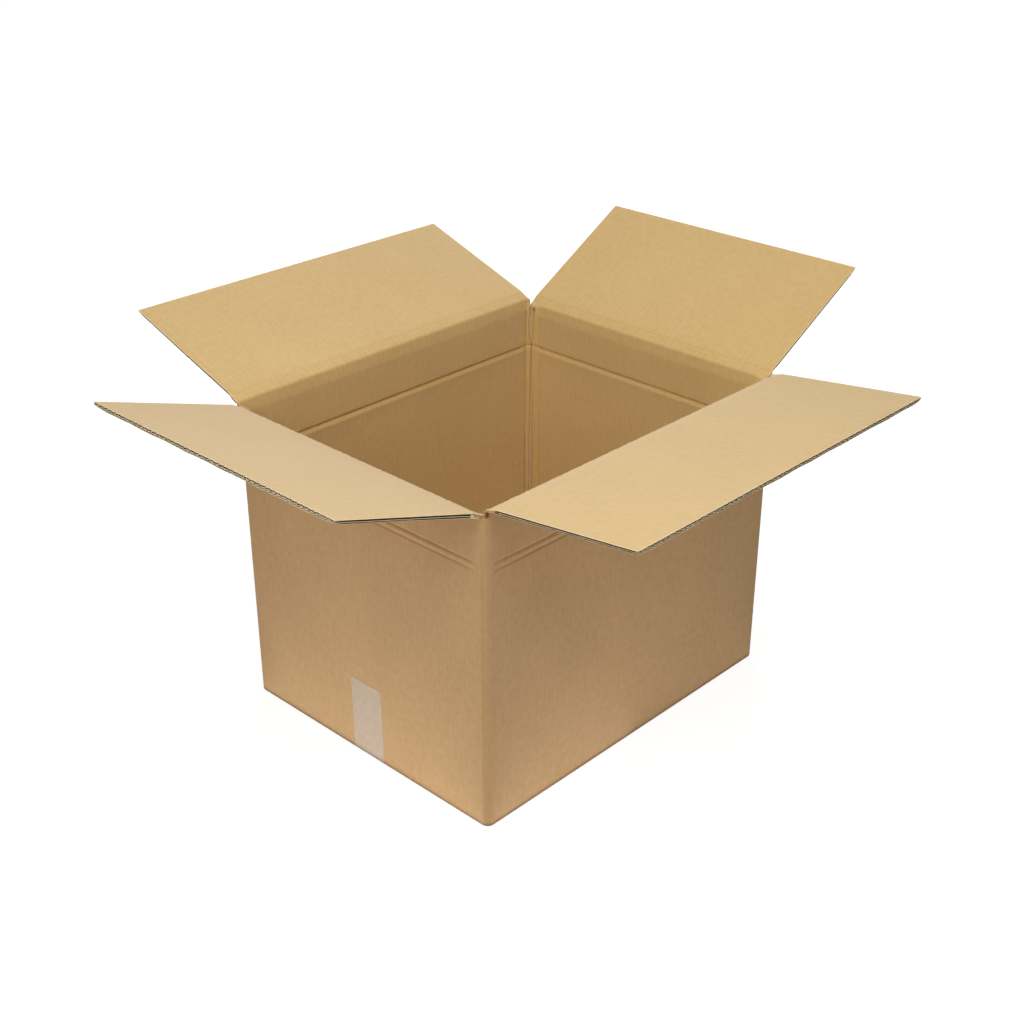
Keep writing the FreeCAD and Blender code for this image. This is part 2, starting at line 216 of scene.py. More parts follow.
class Sheets:
    """Collects grids of points into the faces of one mesh."""

    def __init__(self):
        self.points = []
        self.faces = []
        self.spots = []
        self.slots = []
        self.count = 0

    def grid(self, points, spots, slot, flip=False, rim=None, rim_row=True, rim_from=0):
        """Adds a grid of points, with its places on the unfolded sheet and its material. The
        outer columns, from a given row on, and maybe the last row take the rim's material."""
        rows, columns = points.shape[:2]
        index = np.arange(rows * columns).reshape(rows, columns)
        quads = np.stack([index[:-1, :-1], index[:-1, 1:], index[1:, 1:], index[1:, :-1]], -1)
        quads = quads.reshape(-1, 4)
        if flip:
            quads = quads[:, ::-1]
        flat_spots = spots.reshape(-1, 2)
        self.points.append(points.reshape(-1, 3))
        self.faces.append(quads + self.count)
        self.spots.append(flat_spots[quads])
        chosen = np.full((rows - 1, columns - 1), slot)
        if rim is not None:
            chosen[rim_from:, [0, -1]] = rim
        if rim is not None and rim_row:
            chosen[-1] = rim
        self.slots.append(chosen.ravel())
        self.count += rows * columns

    def slab(self, top, bottom, spots, slots, rim=None, rim_row=True, rim_from=0):
        """Adds a closed sheet between two grids of one size: slots for top, bottom and edges."""
        self.grid(top, spots, slots[0], rim=rim, rim_row=rim_row, rim_from=rim_from)
        self.grid(bottom, spots, slots[1], flip=True)
        for cut in ((0, slice(None)), (-1, slice(None)), (slice(None), 0), (slice(None), -1)):
            edge = np.stack([top[cut], bottom[cut]])
            spots_on_edge = np.stack([spots[cut], spots[cut] + [0.0, 0.4]])
            first = cut[0] == 0 or cut[1] == -1
            self.grid(edge, spots_on_edge, slots[2], flip=first)

    def build(self, name, materials, sharp=35.0):
        """Makes the mesh object: welds equal points, drops empty faces and shades smooth."""
        points = np.concatenate(self.points) * MM
        faces = np.concatenate(self.faces)
        spots = np.concatenate(self.spots) * MM
        slots = np.concatenate(self.slots)
        rounded = np.round(points / 1e-6).astype(np.int64)
        _, first, same = np.unique(rounded, axis=0, return_index=True, return_inverse=True)
        points = points[first]
        faces = same.reshape(-1)[faces]
        kept_faces = []
        kept_spots = []
        kept_slots = []
        for face, spot, slot in zip(faces.tolist(), spots.tolist(), slots.tolist()):
            ring = [number for number in range(4) if face[number] != face[number - 1]]
            if len(ring) < 3 or len({face[number] for number in ring}) < len(ring):
                continue
            kept_faces.append([face[number] for number in ring])
            kept_spots.extend(spot[number] for number in ring)
            kept_slots.append(slot)
        mesh = bpy.data.meshes.new(name)
        mesh.from_pydata(points.tolist(), [], kept_faces)
        layer = mesh.uv_layers.new(name="sheet")
        layer.uv.foreach_set("vector", np.array(kept_spots, np.float32).ravel())
        mesh.polygons.foreach_set("material_index", np.array(kept_slots, np.int32))
        mesh.polygons.foreach_set("use_smooth", np.ones(len(kept_faces), bool))
        for material in materials:
            mesh.materials.append(material)
        mesh.validate()
        form = bmesh.new()
        form.from_mesh(mesh)
        bmesh.ops.recalc_face_normals(form, faces=form.faces)
        form.to_mesh(mesh)
        form.free()
        mesh.set_sharp_from_angle(angle=math.radians(sharp))
        made = bpy.data.objects.new(name, mesh)
        bpy.context.scene.collection.objects.link(made)
        return made


# Materials


class Nodes:
    """Short ways to add shader nodes to one material."""

    def __init__(self, name):
        self.material = bpy.data.materials.new(name)
        self.material.use_nodes = True
        self.tree = self.material.node_tree
        self.shader = next(node for node in self.tree.nodes if node.type == "BSDF_PRINCIPLED")

    def add(self, kind, inputs=None, **settings):
        """A node with its settings and inputs; an input may be a value or another's output."""
        node = self.tree.nodes.new(kind)
        for key, value in settings.items():
            setattr(node, key, value)
        for key, value in (inputs or {}).items():
            self.feed(node.inputs[key], value)
        return node

    def feed(self, socket, value):
        """Sets a socket to a value or links an output to it."""
        if isinstance(value, bpy.types.NodeSocket):
            self.tree.links.new(value, socket)
        else:
            socket.default_value = value

    def maths(self, operation, first, second=0.0):
        """The result of one sum."""
        return self.add("ShaderNodeMath", {0: first, 1: second}, operation=operation).outputs[0]

    def stretched(self, vector, scale):
        """A vector with each part scaled by its own amount."""
        return self.add("ShaderNodeVectorMath", {0: vector, 1: scale}, operation="MULTIPLY").outputs[0]

    def noise(self, vector, detail=3.0, roughness=0.5):
        """Noise between 0 and 1 in unit cells of the vector."""
        inputs = {"Vector": vector, "Scale": 1.0, "Detail": detail, "Roughness": roughness}
        return self.add("ShaderNodeTexNoise", inputs).outputs["Fac"]

    def remap(self, value, low, high, to_low, to_high):
        """A value moved from one range to another, held at its ends."""
        inputs = {"Value": value, "From Min": low, "From Max": high, "To Min": to_low, "To Max": to_high}
        return self.add("ShaderNodeMapRange", inputs).outputs[0]

    def mixed(self, share, first, second, blend="MIX"):
        """Two colours mixed by a share."""
        node = self.add("ShaderNodeMix", data_type="RGBA", blend_type=blend)
        self.feed(node.inputs[0], share)
        self.feed(node.inputs[6], first)
        self.feed(node.inputs[7], second)
        return node.outputs[2]

    def bump(self, height, distance, strength=1.0, below=None):
        """A normal raised by a height."""
        inputs = {"Height": height, "Distance": distance, "Strength": strength}
        if below:
            inputs["Normal"] = below
        return self.add("ShaderNodeBump", inputs).outputs[0]


def kraft(name, base, dark, pale, pitch, sheen):
    """Kraft liner: clouded and speckled paper with fibres across the flutes, which show faintly as stripes
    of painted shade darkening the liner's dips.
    """
    nodes = Nodes(name)
    sheet = nodes.add("ShaderNodeUVMap", uv_map="sheet").outputs[0]
    clouds = nodes.noise(nodes.stretched(sheet, (14.0, 9.0, 1.0)), 2.0)
    mottle = nodes.noise(nodes.stretched(sheet, (140.0, 110.0, 1.0)), 4.0, 0.6)
    fibres = nodes.noise(nodes.stretched(sheet, (260.0, 1300.0, 1.0)), 3.0, 0.6)
    strands = nodes.noise(nodes.stretched(sheet, (900.0, 240.0, 1.0)), 2.0, 0.5)
    across = nodes.add("ShaderNodeSeparateXYZ", {0: sheet}).outputs[0]
    turns = nodes.maths("MULTIPLY", across, 2 * math.pi / (pitch * MM))
    flutes = nodes.maths("COSINE", turns)
    uneven = nodes.remap(nodes.noise(nodes.stretched(sheet, (40.0, 25.0, 1.0)), 2.0), 0.3, 0.7, 0.3, 1.0)
    flutes = nodes.maths("MULTIPLY", flutes, uneven)
    colour = nodes.mixed(nodes.remap(clouds, 0.3, 0.7, 0.0, 0.42), base, dark)
    colour = nodes.mixed(nodes.remap(mottle, 0.35, 0.72, 0.0, 0.5), colour, pale)
    colour = nodes.mixed(nodes.remap(fibres, 0.45, 0.75, 0.0, 0.30), colour, dark)
    colour = nodes.mixed(nodes.remap(strands, 0.60, 0.80, 0.0, 0.22), colour, pale)
    # Painted shade: darker stripes where the liner dips between flutes.
    colour = nodes.mixed(nodes.remap(flutes, -1.0, 1.0, 0.20, 0.0), colour, dark)
    nodes.feed(nodes.shader.inputs["Base Color"], colour)
    nodes.feed(nodes.shader.inputs["Roughness"], nodes.remap(mottle, 0.3, 0.7, 0.92, 0.74))
    nodes.shader.inputs["Specular IOR Level"].default_value = 0.5
    nodes.shader.inputs["Sheen Weight"].default_value = sheen
    nodes.shader.inputs["Sheen Roughness"].default_value = 0.5
    normal = nodes.bump(clouds, 0.0006, 0.5)
    normal = nodes.bump(mottle, 0.00012, 0.6, normal)
    normal = nodes.bump(fibres, 0.00003, 0.7, normal)
    nodes.feed(nodes.shader.inputs["Normal"], normal)
    return nodes.material


def cut_board(name, base, pale):
    """Board's cut edge and corrugated medium: rough fibres. The medium is given a dark colour, painted shade
    for its shadowed flutes.
    """
    nodes = Nodes(name)
    spot = nodes.add("ShaderNodeTexCoord").outputs["Object"]
    fibres = nodes.noise(nodes.stretched(spot, (900.0, 900.0, 1600.0)), 4.0, 0.65)
    patches = nodes.noise(nodes.stretched(spot, (120.0, 120.0, 200.0)), 2.0)
    colour = nodes.mixed(nodes.remap(fibres, 0.3, 0.7, 0.0, 0.7), base, pale)
    colour = nodes.mixed(nodes.remap(patches, 0.35, 0.7, 0.0, 0.4), colour, pale)
    nodes.feed(nodes.shader.inputs["Base Color"], colour)
    nodes.shader.inputs["Roughness"].default_value = 0.95
    nodes.shader.inputs["Specular IOR Level"].default_value = 0.15
    nodes.feed(nodes.shader.inputs["Normal"], nodes.bump(fibres, 0.0002, 0.8))
    return nodes.material


def tape_film(name):
    """Clear tan packing tape with faint streaks and spots where it doesn't quite stick."""
    nodes = Nodes(name)
    sheet = nodes.add("ShaderNodeUVMap", uv_map="sheet").outputs[0]
    streaks = nodes.noise(nodes.stretched(sheet, (620.0, 7.0, 1.0)), 3.0, 0.6)
    spots = nodes.noise(nodes.stretched(sheet, (160.0, 120.0, 1.0)), 3.0, 0.6)
    colour = nodes.mixed(nodes.remap(streaks, 0.35, 0.7, 0.0, 0.6), TAPE_PALE, TAPE_DULL)
    colour = nodes.mixed(nodes.remap(spots, 0.55, 0.75, 0.0, 0.2), colour, TAPE_DULL)
    # The mark lies 1 mm off the strip's middle and 40 mm down from its end.
    offset = nodes.add("ShaderNodeVectorMath", {0: sheet, 1: (0.001, 0.040, 0.0)}, operation="SUBTRACT")
    offset = nodes.stretched(offset.outputs[0], (700.0, 180.0, 0.0))
    reach = nodes.add("ShaderNodeVectorMath", {0: offset}, operation="LENGTH").outputs["Value"]
    colour = nodes.mixed(nodes.remap(reach, 0.4, 1.2, 0.6, 0.0), colour, TAPE_MARK)
    nodes.feed(nodes.shader.inputs["Base Color"], colour)
    nodes.feed(nodes.shader.inputs["Roughness"], nodes.remap(spots, 0.3, 0.7, 0.28, 0.45))
    nodes.feed(nodes.shader.inputs["Alpha"], nodes.remap(spots, 0.35, 0.75, 0.53, 0.47))
    nodes.feed(nodes.shader.inputs["Normal"], nodes.bump(streaks, 0.0001, 0.5))
    return nodes.material


def board_materials():
    """Outer liner, inner liner, cut edge, and corrugated medium darkened with painted shade."""
    return [
        kraft("kraft_outside", *OUTSIDE_TINTS, SMALL_PITCH, 0.2),
        kraft("kraft_inside", *INSIDE_TINTS, LARGE_PITCH, 0.65),
        cut_board("cut_edge", (0.86, 0.67, 0.40, 1), (0.98, 0.81, 0.54, 1)),
        # The corrugated medium's dark colour is painted shade for the flutes' shadowed insides; its paper is
        # as brown as the liners.
        cut_board("fluting_painted_shade", (0.13, 0.08, 0.035, 1), (0.24, 0.155, 0.075, 1)),
    ]


# Walls


def sheet_columns():
    """Places along the unfolded sheet where the walls have columns of points."""
    corners = np.cumsum([0, BOX_LENGTH, BOX_WIDTH, BOX_LENGTH, BOX_WIDTH])
    columns = []
    near = np.concatenate([np.linspace(0, BOARD, 15)[:-1], np.linspace(BOARD, CORNER_FINE, 29)])
    for start, end in zip(corners[:-1], corners[1:]):
        count = int(round((end - start - 2 * CORNER_FINE) / COLUMN))
        columns.append(start + near[:-1])
        columns.append(np.linspace(start + CORNER_FINE, end - CORNER_FINE, count + 1)[:-1])
        columns.append(end - near[:0:-1])
    return np.concatenate(columns + [[PERIMETER]])


def where_on_walls(columns):
    """For each column: its wall's name, its place along that wall and its distance from a corner."""
    names = list(WALLS)
    starts = np.array([WALLS[name][5] for name in names])
    owner = np.clip(np.searchsorted(starts, columns, side="right") - 1, 0, 3)
    spans = np.array([WALLS[name][2] for name in names])
    s = columns - starts[owner] - spans[owner] / 2
    return owner, s, spans[owner] / 2 - np.abs(s)


def outer_outline(columns):
    """Plan of the outer face, with its corners folded in a flattened round, and its normals."""
    owner, s, far = where_on_walls(columns)
    names = list(WALLS)
    spots = np.zeros((len(columns), 2))
    normals = np.zeros((len(columns), 2))
    for number, name in enumerate(names):
        along, normal, span, half, _, _ = WALLS[name]
        mine = owner == number
        side = np.sign(s[mine])
        # The round takes each corner's last stretch: the turn grows to 45 degrees at the corner.
        turn = np.pi / 4 * step_between(CORNER_RADIUS + 1.5 - far[mine], 0, CORNER_RADIUS + 1.5)
        swing = np.pi / 4 * np.clip(1 - far[mine] / CORNER_RADIUS, 0, 1)
        inset = CORNER_RADIUS * (1 - np.cos(swing))
        on_round = span / 2 - CORNER_RADIUS * (1 - np.sin(swing))
        shift = np.where(far[mine] < CORNER_RADIUS, on_round, np.abs(s[mine]))
        place_s = side * shift
        spots[mine] = np.outer(place_s, along) + np.outer(half - inset, normal)
        normals[mine] = np.outer(np.sin(turn) * side, along) + np.outer(np.cos(turn), normal)
    return spots, normals


# Inside corner: how the liner folds from the long wall to the end wall, as distances from
# the corner along the long wall and along the end wall.
CORNER_FOLD = np.array([
    (22.0, 0.0), (14.0, 0.0), (8.2, 0.0), (6.6, 0.1), (5.4, 1.3), (4.3, 2.6), (3.6, 4.6), (3.1, 7.0),
    (2.5, 9.8), (1.5, 13.4), (0.5, 17.0), (0.0, 18.6), (0.0, 20.0), (0.0, 22.0),
])

# Shares of the fold's way at which the long wall's crease and the end wall's crease stop.
LONG_STOP = 0.49
END_STOP = 0.68
FOLD_MIDDLE = (LONG_STOP + END_STOP) / 2


def smooth_line(points, shares):
    """Points along a smooth line through the given ones, at shares of its way."""
    steps = np.concatenate([[0], np.cumsum(np.linalg.norm(np.diff(points, axis=0), axis=1))])
    steps /= steps[-1]
    fine = np.linspace(0, 1, 400)
    line = np.stack([np.interp(fine, steps, points[:, axis]) for axis in range(2)], -1)
    kernel = np.hanning(13)
    kernel /= kernel.sum()
    padded = np.pad(line, ((6, 6), (0, 0)), mode="edge")
    soft = np.stack([np.convolve(padded[:, axis], kernel, "valid") for axis in range(2)], -1)
    soft[0] = line[0]
    soft[-1] = line[-1]
    return np.stack([np.interp(shares, fine, soft[:, axis]) for axis in range(2)], -1)


def inner_outline(columns):
    """Plan of the inner face with the folds at its corners, its normals, and the share of the
    way across a corner's fold, which is below 0 on the flat."""
    owner, s, far = where_on_walls(columns)
    names = list(WALLS)
    spots = np.zeros((len(columns), 2))
    normals = np.zeros((len(columns), 2))
    across = np.full(len(columns), -1.0)
    for number, name in enumerate(names):
        along, normal, span, half, _, _ = WALLS[name]
        mine = owner == number
        spots[mine] = np.outer(s[mine], along) + np.full((mine.sum(), 1), half - BOARD) * np.array(normal)
        normals[mine] = -np.array(normal)
        is_long = span == BOX_LENGTH
        for side in (-1, 1):
            near = mine & (far < CORNER_FINE) & (np.sign(s) == side)
            start, stop = (0.0, LONG_STOP) if is_long else (1.0, END_STOP)
            share = np.interp(far[near], [0, BOARD, CORNER_FINE], [FOLD_MIDDLE, stop, start])
            line = smooth_line(CORNER_FOLD, share)
            corner = np.array([np.sign(along[0] * side + normal[0]) * (BOX_LENGTH / 2 - BOARD),
                               np.sign(along[1] * side + normal[1]) * (BOX_WIDTH / 2 - BOARD)])
            inward = -np.sign(corner)
            spots[near] = corner + np.stack([inward[0] * line[:, 0], inward[1] * line[:, 1]], -1)
            lean = step_between(line[:, 1] / (line[:, 0] + line[:, 1] + 1e-6), 0.0, 1.0)
            face = np.stack([inward[0] * lean, inward[1] * (1 - lean)], -1)
            normals[near] = face / np.linalg.norm(face, axis=1)[:, None]
            across[near] = share
    return spots, normals, across


def groove(values, middle, half):
    """A rounded groove: 1 in its middle and 0 at its edges."""
    return np.cos(np.clip((values - middle) / half, -1, 1) * np.pi / 2) ** 2


def make_walls(materials):
    """The four walls: outer and inner liner, sloped tops under the creases, and folded corners."""
    columns = sheet_columns()
    owner, s, far = where_on_walls(columns)
    names = list(WALLS)
    half_span = np.array([WALLS[names[number]][2] / 2 for number in owner])
    crease = np.array([WALLS[names[number]][4] for number in owner])
    on_post = far < BOARD
    outer_spots, outer_normals = outer_outline(columns)
    inner_spots, inner_normals, across = inner_outline(columns)

    # Outer face: rows from the bottom fold to the crease.
    fold = np.array([0.0, 0.35, 1.2, 2.5])
    inset = np.array([2.5, 1.1, 0.3, 0.0])
    low_rows = np.array([6.0, 40, 100, 160, 220, 280, 304])
    score_rows = np.array([309, 310.8, 311.8, 312.6, 313.4, 314.2, 315, 316, 317.2, 318.6, 319.8, 320.6,
                           321.4, 322.2, 323, 324, 325.4])
    rises = np.array([0.12, 0.45, 0.75, 0.9, 0.97, 1.0])
    outer_top = np.where(on_post, END_CREASE, crease)
    ragged = 0.35 * wander(columns, 5.0, 4) * on_post
    heights = [np.full(len(columns), row) for row in np.concatenate([fold, low_rows, score_rows])]
    heights += [325.4 + (outer_top + ragged - 325.4) * rise for rise in rises]
    heights = np.array(heights)
    insets = np.zeros_like(heights)
    insets[:4] = inset[:, None]
    bulge = np.cos(np.pi * s / (2 * half_span)) * np.sin(np.pi * np.clip(heights / crease, 0, 1))
    wave = WASHBOARD * np.cos(2 * np.pi * columns / SMALL_PITCH) * step_between(far, 8, 14)
    wave = wave * step_between(heights, 3, 10) * step_between(crease - heights, 0, 8)
    keep = step_between(far, 9, 16 + 10 * (owner == 3))
    score = 0.95 * groove(heights, 314.0, 2.6) + 1.05 * groove(heights, 322.2, 2.2)
    ridge = 0.30 * groove(heights, 318.2, 2.6)
    press = step_between(heights, 360, 380) * 0.1
    seam = (0.35 + 0.2 * wander(heights, 90, 8)) * groove(PERIMETER - columns, 4.6, 0.8)
    away = 0.9 * bulge + wave - insets - (score - ridge) * keep - press - seam
    outer = np.zeros(heights.shape + (3,))
    outer[..., :2] = outer_spots + away[..., None] * outer_normals
    outer[..., 2] = heights
    spots = np.stack(np.broadcast_arrays(columns, heights), -1)

    # Inner face: rows from under the bottom flaps to the bent liner, and a last one tucked under it.
    inner_rows = np.array([0.0, 12.4, 60, 120, 180, 240, 296, 308, 311.0, 313.0, 314.6, 316.2, 317.6, 318.8,
                           319.7, 320.4, 321.0, 321.6, 322.4, 324, 327])
    inner_rises = np.array([0.12, 0.3, 0.5, 0.7, 0.86, 0.95, 1.0])
    inner_top = np.where(on_post, END_CREASE, crease - SKIN_REACH)
    inner_heights = [np.full(len(columns), row) for row in inner_rows]
    inner_heights += [327.0 + (inner_top + ragged - 327.0) * rise for rise in inner_rises]
    inner_heights.append(inner_top + ragged + np.where(on_post, 0.0, TUCK))
    inner_heights = np.array(inner_heights)
    unequal = 0.6 + 0.5 * wander(columns, 31, 12)
    wave = 3.0 * WASHBOARD * unequal * np.cos(2 * np.pi * columns / LARGE_PITCH) * step_between(far, 16, 24)
    wave = wave * step_between(crease - inner_heights, 12, 20)
    down = step_between(inner_heights, 313.0, 320.2) * (1 - step_between(inner_heights, 320.2, 321.8))
    proud = groove(inner_heights, 313.5, 7.0)
    score = (2.2 * down - 0.7 * proud) * (0.35 + 0.65 * step_between(far, 8, 26))
    flat = across < 0
    upper = np.sin(np.pi * np.clip((inner_heights - 321) / (END_CREASE + 2 - 321), 0, 1)) ** 0.7
    lower = 0.75 * np.sin(np.pi * np.clip((319 - inner_heights) / 400, 0, 1)) ** 0.6
    lens = np.maximum(upper, lower)
    opening = 0.082 * lens
    off = np.abs(across - FOLD_MIDDLE)
    slits = 2.5 * np.exp(-((off - opening) / 0.013) ** 2)
    pillow = 0.8 * lens * np.exp(-(off / 0.05) ** 2)
    bends = 2.2 * np.exp(-((across - 0.385) / 0.022) ** 2) + 1.6 * np.exp(-((across - 0.915) / 0.02) ** 2)
    nip = 0.9 * groove(inner_heights, 320.5, 3.0)
    folded = np.where(flat, 0.0, pillow - slits - bends - nip * np.exp(-((across - FOLD_MIDDLE) / 0.2) ** 2))
    inward = -0.9 * np.cos(np.pi * s / (2 * half_span))
    inward = inward * np.sin(np.pi * np.clip(inner_heights / (crease - SKIN_REACH), 0, 1))
    inward = inward + wave - score + folded * step_between(crease - inner_heights, 3, 20 - 9 * on_post)
    inward[-1] -= np.where(on_post, 0.0, TUCK_DEEP)
    inner = np.zeros(inner_heights.shape + (3,))
    inner[..., :2] = inner_spots + inward[..., None] * inner_normals
    inner[..., 2] = inner_heights
    inner_sheet = np.stack(np.broadcast_arrays(columns, inner_heights), -1)

    sheets = Sheets()
    sheets.grid(outer, spots, OUTER)
    sheets.grid(inner, inner_sheet, INNER, flip=True)
    torn = (outer[-1] + inner[-1]) / 2
    torn[:, 2] -= on_post * (0.5 + 0.5 * wander(columns, 3.0, 9))
    torn_sheet = np.stack([spots[-1], spots[-1], inner_sheet[-1]])
    sheets.grid(np.stack([outer[-1], torn, inner[-1]]), torn_sheet, OUTER)
    sheets.grid(np.stack([outer[0], inner[0]]), np.stack([spots[0], inner_sheet[0]]), OUTER, flip=True)
    walls = sheets.build("carton_walls", materials)
    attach(walls, "carton")
    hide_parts("carton")


# Boards with open flutes


def warp(x, y, wide, deep, seed):
    """How far a board's middle departs from its plane: a slight bow and sway to its free edge."""
    share = np.clip(y / deep, 0, 1)
    random = np.random.default_rng(seed)
    bow = random.uniform(0.05, 0.25) * (1 - (2 * x / wide) ** 2)
    sway = 0.12 * wander(x, wide * 0.8, seed + 1) - 0.15
    return (bow + sway) * share ** 2


def squeezed(x, y, wide, deep, seed, crush):
    """The share of its thickness that the board keeps: less where it was cut. Crush is the
    share that goes at the sides where x is high and where it is low, and how far the low side
    springs back at the crease."""
    side = wide / 2 - np.abs(x)
    end = deep - y
    slot = np.where(x > 0, crush[0], crush[1]) + 0.06 * wander(y + 40 * np.sign(x), 60, seed + 2)
    slot = slot * (1 - crush[2] * np.exp(-(y / 17) ** 2) * (x < 0))
    front = 0.21 + 0.05 * wander(x, 45, seed + 3)
    corner = 0.05 * np.exp(-np.hypot(side, end) / 14)
    return 1 - slot * np.exp(-side / 6) - front * np.exp(-end / 9) - corner


def trimmed(x, y, wide, deep, seed, lag=0.0):
    """Moves points in from the free edge and the slots, as a blunt cut with rounded corners."""
    side = wide / 2 - np.abs(x)
    radius = 1.0
    round_off = radius - np.sqrt(np.clip(radius ** 2 - np.clip(radius - side, 0, radius) ** 2, 0, None))
    pull = (round_off + lag + 0.12 + 0.12 * wander(x, 9, seed + 4)) * step_between(y, deep - 14, deep)
    pinch = (lag + 0.15 + 0.15 * wander(y, 12, seed + 5)) * step_between(-side, -8, 0)
    return x - np.sign(x) * pinch, y - pull


def sheet_layer(sheets, floor, roof, grid, frame, slots, seed, lag=0.0, rim=None, flush=None):
    """One flat liner of a board between two heights of its section. It is tucked down where it
    starts before the flush distance from the crease."""
    x, y = grid
    wide, deep, put, sheet_at, crush, waves = frame
    keep = squeezed(x, y, wide, deep, seed, crush)
    bend = warp(x, y, wide, deep, seed)
    ripple = waves(x, y)
    new_x, new_y = trimmed(x, y, wide, deep, seed, lag)
    curl = 0.1 * step_between(y, deep - 1.6, deep) * (1 if roof > BOARD / 2 else -1)
    if flush:
        curl = curl + TUCK_DEEP * (y < flush - 0.01)
    near_side = step_between(np.abs(x), wide / 2 - 2, wide / 2)
    spread = CUT_SPREAD * np.maximum(step_between(y, deep - 2, deep), near_side)
    top = BOARD - (BOARD - roof - spread * (roof < BOARD)) * keep + bend + ripple - curl
    bottom = BOARD - (BOARD - floor + spread * (floor > 0)) * keep + bend + ripple - curl
    spots = sheet_at(x, y)
    sheets.slab(put(new_x, new_y, top), put(new_x, new_y, bottom), spots, slots, rim)


def board_rows(start, deep):
    """Distances from the crease of a board's rows of points, closer together at its free edge."""
    edge = [deep - 9, deep - 5, deep - 2.5, deep - 1.2, deep - RIM, deep]
    near = [start, start + TUCK, start + 6, start + 12]
    return np.concatenate([near, np.linspace(start + 20, deep - 14, MIDDLE_ROWS), edge])


def fluted_layer(sheets, floor, roof, pitch, frame, start, points, seed, cut):
    """One corrugated medium: a wavy sheet between two liners, open at its ends, with so many
    points to a flute. Cut is the medium's thickness where its fibres spread at the cut."""
    wide, deep, put, sheet_at, crush, _ = frame
    count = int(round(wide / pitch))
    x = np.linspace(-wide / 2, wide / 2, count * points + 1)
    y, x = np.meshgrid(board_rows(start, deep), x, indexing="ij")
    keep = squeezed(x, y, wide, deep, seed, crush)
    bend = warp(x, y, wide, deep, seed)
    grown = MEDIUM + (cut - MEDIUM) * step_between(y, deep - 2.5, deep)
    swing = (roof - floor - grown) / 2 - 0.02
    shape = np.cos(2 * np.pi * x * count / wide)
    shape = np.sign(shape) * np.abs(shape) ** 0.8
    crush = 1 - 0.25 * np.clip(wander(x, 70, seed + 6), 0, 1) * np.exp(-(deep - y) / 8)
    middle = (floor + roof) / 2 + swing * shape * crush
    slope = np.gradient(middle, axis=1) / np.gradient(x, axis=1)
    thick = np.minimum(grown / 2 * np.sqrt(1 + slope ** 2), 0.7 * (roof - floor) / 2)
    lean = 0.5 * wander(x, 40, seed + 7) * step_between(y, deep - 6, deep)
    new_x, new_y = trimmed(x + lean, y, wide, deep, seed, 0.15)
    new_x = np.clip(new_x, -wide / 2, wide / 2)
    top = BOARD - (BOARD - middle - thick) * keep + bend
    bottom = BOARD - (BOARD - middle + thick) * keep + bend
    sheets.slab(put(new_x, new_y, top), put(new_x, new_y, bottom), sheet_at(x, y), (SHADED_FLUTE, SHADED_FLUTE, EDGE))


def make_board(name, wide, deep, root, slope, put, sheet_at, materials, seed, crush, column=COLUMN,
               points=FLUTE_POINTS):
    """A panel of double-wall board: three liners, two corrugated mediums and a solid root."""
    sheets = Sheets()
    top_root = root + slope
    count = int(round(wide / column))
    x = np.concatenate([[-wide / 2], np.linspace(RIM - wide / 2, wide / 2 - RIM, count + 1), [wide / 2]])

    def grid(start):
        """Points across and along one liner."""
        y, across = np.meshgrid(board_rows(start, deep), x, indexing="ij")
        return across, y

    def large_waves(x, y):
        """Faint ripples of the inner liner over the large flutes."""
        shown = step_between(wide / 2 - np.abs(x), 2, 12) * step_between(y - top_root, 2, 10)
        return WASHBOARD * np.cos(2 * np.pi * sheet_at(x, y)[..., 0] / LARGE_PITCH) * shown

    def small_waves(x, y):
        """Faint ripples of the outer liner over the small flutes."""
        shown = step_between(wide / 2 - np.abs(x), 2, 12) * step_between(y - root, 2, 10)
        return WASHBOARD * np.cos(2 * np.pi * sheet_at(x, y)[..., 0] / SMALL_PITCH) * shown

    def no_waves(x, y):
        """The middle liner is flat."""
        return 0 * x

    solid_to = top_root + 2
    frame = (wide, deep, put, sheet_at, crush)
    flat = frame + (no_waves,)
    sheet_layer(sheets, 0.0, LINER, grid(root), frame + (small_waves,), (SHADED_FLUTE, OUTER, EDGE), seed, 0.1)
    sheet_layer(sheets, SMALL_FLUTE_TOP, LARGE_FLUTE_FLOOR, grid(solid_to), flat,
                (SHADED_FLUTE, SHADED_FLUTE, EDGE), seed, 0.2)
    sheet_layer(sheets, BOARD - LINER, BOARD, grid(top_root - TUCK), frame + (large_waves,),
                (INNER, SHADED_FLUTE, EDGE), seed, rim=EDGE, flush=top_root)
    fluted_layer(sheets, LINER, SMALL_FLUTE_TOP, SMALL_PITCH, flat, solid_to, points, seed, SMALL_CUT)
    fluted_layer(sheets, LARGE_FLUTE_FLOOR, BOARD - LINER, LARGE_PITCH, flat, solid_to,
                 points, seed, LARGE_CUT)

    # The root: solid board, crushed by the crease, between the two liners.
    x_root = np.linspace(-wide / 2, wide / 2, 61)
    y_low = np.array([root, solid_to])
    y_root, across = np.meshgrid(y_low, x_root, indexing="ij")
    keep = squeezed(across, y_root, wide, deep, seed, crush)
    new_x, _ = trimmed(across, y_root, wide, deep, seed, 0.25)
    rise = np.where(y_root == root, LINER / 2, BOARD - LINER)
    upper = put(new_x, y_root, BOARD - (BOARD - rise) * keep)
    lower = put(new_x, y_root, BOARD - (BOARD - LINER / 2) * keep)
    # Its cut sides take the dark flute colour, painted shade, unless the slot springs back at the crease.
    sheets.slab(upper, lower, sheet_at(across, y_root), (SHADED_FLUTE, SHADED_FLUTE, EDGE if crush[2] else SHADED_FLUTE))
    return sheets.build(name, materials)


def leaned(s, y, wide, leans):
    """Places across a flap drawn in where the slots' cuts lean, most at the crease."""
    lean = np.where(s < 0, leans[0], leans[1]) * (2 * s / wide) ** 2 * (1 - y / FLAP_DEPTH)
    return s - np.sign(s) * lean


